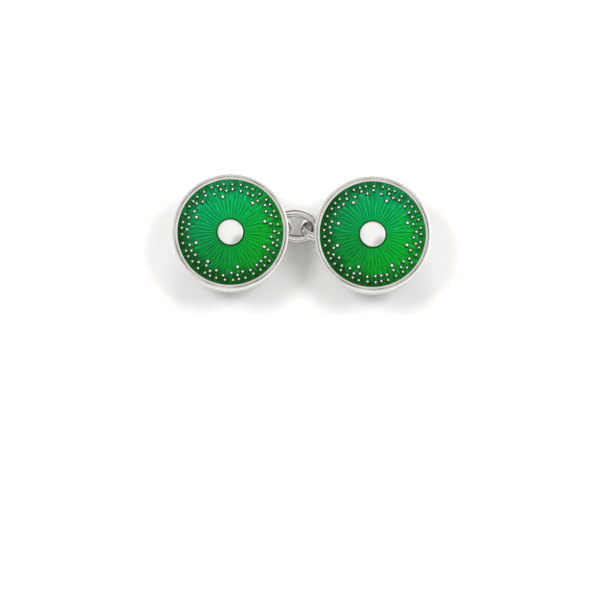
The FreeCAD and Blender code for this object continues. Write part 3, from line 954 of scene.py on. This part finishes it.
            # The tray's edge at the seam: partly oxidised silver, partly painted shade where tray and rim
            # meet.
            if polygon.center.xy.length > self.tray_radius - self.seam_share * self.seam_round:
                polygon.material_index = tarnish_and_shade
        map_dial(mesh)
        self.put("dial_tray", mesh, (self.finishes.engraved, self.finishes.worn, self.finishes.tarnish_and_shade),
                 Slot.ENGRAVED, self.dial_turn)

    def build_enamel(self) -> None:
        """Build the enamel layer; it runs down into the cuts and up a little at its edges."""
        bottom = self.tray_floor - self.enamel_sink
        outside = self.enamel_radius + self.enamel_overlap
        inside = self.stud_radius - self.enamel_overlap
        high = self.enamel_top + self.meniscus
        climbing = self.enamel_top + self.climb_share * self.meniscus
        steps = self.enamel_steps
        top = [(outside, high), (self.enamel_radius - self.outer_climb[0], climbing),
               (self.enamel_radius - self.outer_climb[1], self.enamel_top)]
        for part in range(1, steps):
            reach = self.enamel_radius * (1 - part / steps) + self.enamel_bore * part / steps
            top.append((reach, self.enamel_top))
        top.extend(((self.enamel_bore + self.inner_climb[1], self.enamel_top),
                    (self.enamel_bore + self.inner_climb[0], climbing), (inside, high)))
        mesh = lathe([(inside, bottom), (outside, bottom), *top], self.segments)
        map_dial(mesh)
        self.put("enamel", mesh, (self.finishes.enamel,), Slot.ENAMEL, self.dial_turn)

    def pip_places(self) -> list[Triple]:
        """Work out where the pips stand.

        Returns:
            Across, along and radius of every pip.
        """
        places = []
        for row in self.pip_rows:
            for number in range(row.count):
                step = number + self.pip_shift * math.sin(self.pip_shift_turn * number + row.phase)
                angle = row.phase + FULL_TURN * step / row.count
                share = row.share + row.sway * math.sin(self.pip_sway_turn * number + row.phase)
                reach = self.enamel_radius * share
                places.append((reach * math.cos(angle), reach * math.sin(angle), row.radius))
        return places

    def build_pips(self) -> None:
        """Build the pips: low silver domes, each in a ring of painted shadow."""
        shells = []
        top = self.enamel_top
        low, high = top - self.shadow_ring_rise, top + self.shadow_ring_rise
        for across, along, radius in self.pip_places():
            crown = self.pip_crown * radius
            dome = [(0.0, self.tray_floor), (radius, self.tray_floor), (radius, low), (crown, high)]
            dome.extend((share * crown, top + rise * self.pip_proud) for share, rise in self.pip_dome)
            # A thin dark ring at the enamel's top round the pip: painted shadow.
            bore, edge = self.shadow_ring_bore * crown, crown + self.pip_shadow_ring
            ring = lathe([(bore, low), (edge, low), (edge, high), (bore, high)], self.pip_segments)
            for polygon in ring.polygons:
                polygon.material_index = 1
            place = Matrix.Translation((across, along, 0.0))
            shells.append((lathe(dome, self.pip_segments, closed=False), place))
            shells.append((ring, place))
        self.put("pips", merged(shells), (self.finishes.pip, self.finishes.seat), Slot.POLISHED,
                 self.dial_turn)

    def build_stud(self) -> None:
        """Build the domed stud and its peg."""
        rise = self.stud_top - self.stud_side
        bend = (self.stud_radius ** 2 + rise ** 2) / (2 * rise)
        shoulder = math.degrees(math.asin(self.stud_radius / bend))
        dome = arc((0.0, self.stud_top - bend), bend, 90 - self.dome_share * shoulder, 90, self.dome_steps)
        lip_in, lip_down = (part * self.stud_lip for part in self.lip_turn)
        section = [(0.0, self.peg_end), (self.peg_radius, self.peg_end), (self.peg_radius, self.tray_floor),
                   (self.stud_radius, self.tray_floor), (self.stud_radius, self.stud_side - self.stud_lip),
                   (self.stud_radius - lip_in, self.stud_side - lip_down), *dome[:-1], (0.0, self.stud_top)]
        self.put("centre_stud", lathe(section, self.stud_segments, closed=False), (self.finishes.polished,),
                 Slot.POLISHED, self.dial_turn, self.stud_sharp_angle)

    def build_eye(self) -> None:
        """Build the wire eye, soldered to the back and filed flat where it stands."""
        foot = -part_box(self.node("back_plate"))[0].z
        bend_level = foot + self.eye_wire - self.foot_flat + self.eye_bend
        bend_out = self.eye_half - self.eye_bend
        left = arc((-bend_out, bend_level), self.eye_bend, 180, 270, self.eye_bend_steps)
        right = arc((bend_out, bend_level), self.eye_bend, 270, 360, self.eye_bend_steps)
        leg = [(-self.eye_half, -self.leg_step * part ** 2) for part in range(self.leg_points)]
        flat = [*leg, *left, *right, *[(-across, up) for across, up in reversed(leg)]]
        radii = [self.eye_wire + self.solder * math.exp(up / self.solder_height) for _, up in flat]
        path = [Vector((across, 0.0, up)) for across, up in flat]
        mesh = tube(path, Vector((0.0, -1.0, 0.0)), radii, self.eye_segments, closed=False)
        for vertex in mesh.vertices:
            vertex.co.z = max(vertex.co.z, foot)
        self.put("eye", mesh, (self.finishes.link,), Slot.POLISHED, self.eye_turn)

    def dress_hidden(self) -> None:
        """Give the sealed inner pieces their finish."""
        for piece in ("bearer_ring", "stud_washer"):
            node = frame["nodes"][self.node(piece)]
            node.data.materials.clear()
            node.data.materials.append(self.finishes.plain)
            LOG.info("%s: CAD shape, dressed", self.node(piece))

    def build(self) -> None:
        """Build all the pieces of the face."""
        self.build_rim()
        self.build_back()
        self.build_tray()
        self.build_enamel()
        self.build_pips()
        self.build_stud()
        self.build_eye()
        self.dress_hidden()


@dataclass
class Chain:
    """The three wire links between the faces."""

    finishes: Finishes
    wire: float = 0.55 * MM
    link_bow: float = 1.82 * MM
    link_straight: float = 5.1 * MM
    ring_half_length: float = 2.7 * MM
    ring_half_width: float = 1.8 * MM
    ring_bow: float = 1.5 * MM
    bend_steps: int = 40
    segments: int = 40

    def wire_loop(self, flat: Sequence[Point]) -> Mesh:
        """Draw the wire along a closed path that is flat in its own XY plane and long in X."""
        path = [Vector((across, along, 0.0)) for across, along in flat]
        return tube(path, Vector((0.0, 0.0, 1.0)), [self.wire] * len(path), self.segments, closed=True)

    def face_link(self) -> Mesh:
        """Build a straight-sided link.

        Returns:
            The link's mesh.
        """
        half = self.link_straight / 2
        flat = arc((half, 0.0), self.link_bow, -90, 90, self.bend_steps)
        return self.wire_loop(flat + arc((-half, 0.0), self.link_bow, 90, 270, self.bend_steps))

    def oval_link(self) -> Mesh:
        """Build the middle link: tight ends and gently curved sides, each an arc.

        Returns:
            The link's mesh.
        """
        reach = self.ring_half_length - self.ring_bow
        square = reach ** 2 + self.ring_half_width ** 2 - self.ring_bow ** 2
        side = square / (2 * (self.ring_half_width - self.ring_bow))
        drop = side - self.ring_half_width
        tip = math.degrees(math.atan2(drop, reach))
        flat = []
        for centre, radius, start, finish in (((reach, 0.0), self.ring_bow, -tip, tip),
                                              ((0.0, -drop), side, tip, 180 - tip),
                                              ((-reach, 0.0), self.ring_bow, 180 - tip, 180 + tip),
                                              ((0.0, drop), side, 180 + tip, 360 - tip)):
            flat += arc(centre, radius, start, finish, self.bend_steps)[:-1]
        return self.wire_loop(flat)

    def put(self, name: str, mesh: Mesh, finish: Material, length: Vector, width: Vector) -> None:
        """Add a link, centred on its CAD node.

        Args:
            name: the link's node and body.
            mesh: its mesh.
            finish: its material.
            length: the direction it is long in.
            width: the direction across it.
        """
        low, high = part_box(name)
        along = length.normalized()
        across = (width - along * width.dot(along)).normalized()
        turn = Matrix((along, across, along.cross(across))).transposed().to_4x4()
        add_piece(name, mesh, (finish,), Matrix.Translation((low + high) / 2) @ turn, name)

    def build(self) -> None:
        """Build the three links."""
        upright = Vector((0.0, 0.0, 1.0))
        left_axis = -hinge("left_face_swing")[1]
        ring_axis = hinge("left_link_swing")[1]
        right_end, right_axis = hinge("right_link_swing")
        right_far = hinge("right_face_swing")[0]
        lean = math.asin(-abs(right_axis.z))
        left_width = left_axis * math.cos(lean) + upright * math.sin(lean)
        self.put("left_link", self.face_link(), self.finishes.link, left_axis.cross(upright), left_width)
        # The middle link gets the darker wire, whose darker colours are painted shade.
        self.put("middle_link", self.oval_link(), self.finishes.wire, ring_axis.cross(upright), ring_axis)
        self.put("right_link", self.face_link(), self.finishes.link, right_far - right_end, right_axis)


@dataclass(frozen=True)
class SkyPatch:
    """A soft round part of the surroundings that the metal mirrors; angles in degrees."""

    azimuth: float
    elevation: float
    inner: float
    outer: float
    colour: Colour

    def direction(self) -> Vector:
        """Give the direction to the patch's middle."""
        turn, rise = math.radians(self.azimuth), math.radians(self.elevation)
        return Vector((math.cos(turn) * math.cos(rise), math.sin(turn) * math.cos(rise), math.sin(rise)))


@dataclass(frozen=True)
class Lamp:
    """A round soft lamp: the way to it from the object, and its power in watts."""

    name: str
    direction: Triple
    power: float


@dataclass
class Studio:
    """Floor, soft light and camera at the photograph's angle."""

    image_side: int = 600
    pixel: float = 0.1363 * MM
    middle_pixel: Point = (301.45, 232.95)
    middle_height: float = 7.52 * MM
    elevation: float = math.radians(84.0)
    distance: float = 0.6
    sensor_width: float = 36.0
    floor_half: float = 1.5
    floor_finish: FloorFinish = FloorFinish("white_sheet", (0.97, 0.97, 0.97), lift=0.02)
    lamp_distance: float = 0.6
    lamp_width: float = 0.2
    lamps: tuple[Lamp, ...] = (Lamp("left_lamp", (-0.5, 0.2, 0.88), 1.25),
                               Lamp("right_lamp", (0.5, 0.2, 0.88), 1.25),
                               Lamp("back_lamp", (0.0, 0.85, 0.5), 0.81))
    tent_stops: tuple[Point, ...] = ((0.0, 0.25), (0.35, 0.4), (0.64, 0.55), (0.87, 0.85), (1.0, 0.95))
    tent_tint: Colour = (1.0, 1.0, 1.0)
    fill_stops: tuple[Point, ...] = ((0.0, 0.19), (0.35, 0.27), (0.64, 0.37), (0.87, 0.6), (1.0, 0.68))
    fill_tint: Colour = (1.0, 0.98, 0.94)
    patches: tuple[SkyPatch, ...] = (
        SkyPatch(90.0, 20.0, 20.0, 40.0, (0.45, 0.43, 0.39)),
        SkyPatch(0.0, 26.0, 26.0, 44.0, (1.15, 1.15, 1.14)),
        SkyPatch(180.0, 26.0, 22.0, 42.0, (0.66, 0.66, 0.65)),
        SkyPatch(270.0, 18.0, 22.0, 36.0, (0.75, 0.73, 0.69)),
        SkyPatch(314.0, 28.0, 14.0, 30.0, (1.25, 1.25, 1.24)),
        SkyPatch(90.0, 74.0, 8.0, 30.0, (0.96, 0.95, 0.93)),
        SkyPatch(318.0, 56.0, 2.0, 30.0, (0.55, 0.55, 0.56)))

    def camera(self) -> None:
        """Stand the camera so that the object falls on its place in the picture."""
        back = Vector((0.0, -math.cos(self.elevation), math.sin(self.elevation)))
        up = Vector((0.0, math.sin(self.elevation), math.cos(self.elevation)))
        half = self.image_side / 2
        target = Vector((0.0, 0.0, self.middle_height))
        target += Vector((1.0, 0.0, 0.0)) * (half - self.middle_pixel[0]) * self.pixel
        target -= up * (half - self.middle_pixel[1]) * self.pixel
        data = bpy.data.cameras.new("camera")
        data.sensor_width = self.sensor_width
        data.lens = self.sensor_width * self.distance / (self.image_side * self.pixel)
        camera = bpy.data.objects.new("camera", data)
        bpy.context.scene.collection.objects.link(camera)
        camera.location = target + back * self.distance
        camera.rotation_mode = "QUATERNION"
        camera.rotation_quaternion = (-back).to_track_quat("-Z", "Y")
        bpy.context.scene.camera = camera

    def floor(self) -> None:
        """Lay the white sheet that the object stands on."""
        side = self.floor_half
        mesh = bpy.data.meshes.new("floor")
        mesh.from_pydata([(-side, -side, 0.0), (side, -side, 0.0), (side, side, 0.0), (-side, side, 0.0)],
                         [], [(0, 1, 2, 3)])
        mesh.materials.append(self.floor_finish.material())
        sheet = bpy.data.objects.new("floor", mesh)
        bpy.context.scene.collection.objects.link(sheet)

    def hang(self, lamp: Lamp) -> None:
        """Hang a lamp that points at the object and that neither the metal nor the enamel mirrors.

        Args:
            lamp: the lamp.
        """
        data = bpy.data.lights.new(lamp.name, "AREA")
        data.shape = "DISK"
        data.size = self.lamp_width
        data.energy = lamp.power
        light = bpy.data.objects.new(lamp.name, data)
        bpy.context.scene.collection.objects.link(light)
        way = Vector(lamp.direction)
        light.location = way.normalized() * self.lamp_distance
        light.rotation_mode = "QUATERNION"
        light.rotation_quaternion = (-way).to_track_quat("-Z", "Y")
        light.visible_glossy = False
        light.visible_transmission = False

    def shell(self, graph: Graph, way: Socket, stops: Sequence[Point], tint: Colour) -> Socket:
        """Shade the surroundings from the horizon up to overhead.

        Args:
            graph: the world's node tree.
            way: the direction looked in.
            stops: height of the direction, from 0 to 1, and brightness there.
            tint: the colour of brightness 1.

        Returns:
            The colour's socket.
        """
        split = graph.add("ShaderNodeSeparateXYZ", Vector=way)
        ramp = graph.add("ShaderNodeValToRGB", Fac=split.outputs["Z"])
        elements = ramp.color_ramp.elements
        for position, _ in stops[1:-1]:
            elements.new(position)
        for element, (position, value) in zip(elements, stops):
            element.position = position
            element.color = (*(value * part for part in tint), 1.0)
        return ramp.outputs["Color"]

    def sky(self) -> None:
        """Surround the set with a pale tent: the metal mirrors its patches, the sheet has a plain fill."""
        world = bpy.data.worlds.new("tent")
        world.use_nodes = True
        graph = Graph(world.node_tree)
        way = graph.add("ShaderNodeTexCoord").outputs["Generated"]
        colour = self.shell(graph, way, self.tent_stops, self.tent_tint)
        for patch in self.patches:
            near = graph.add("ShaderNodeVectorMath", operation="DOT_PRODUCT", Vector=way)
            graph.feed(near.inputs[1], patch.direction())
            edges = (math.cos(math.radians(patch.outer)), math.cos(math.radians(patch.inner)))
            colour = graph.blend(graph.spread(near.outputs["Value"], edges), colour, patch.colour)
        rays = graph.add("ShaderNodeLightPath")
        fill = self.shell(graph, way, self.fill_stops, self.fill_tint)
        colour = graph.blend(rays.outputs["Is Diffuse Ray"], colour, fill)
        graph.fill(graph.tree.nodes["Background"], Color=colour)
        bpy.context.scene.world = world

    def build(self) -> None:
        """Set the whole studio."""
        bpy.context.scene.view_settings.view_transform = "Standard"
        self.camera()
        self.floor()
        self.sky()
        for lamp in self.lamps:
            self.hang(lamp)


def main() -> None:
    """Build the cufflink and its studio."""
    logging.basicConfig(level=logging.INFO, format="%(name)s %(message)s")
    finishes = Finishes()
    for side in Side:
        axis = hinge(f"{side.value}_face_swing")[1]
        Face(side, finishes, DIAL_TURNS[side], math.atan2(-axis.x, axis.y)).build()
    Chain(finishes).build()
    Studio().build()


if __name__ == "__main__":
    main()
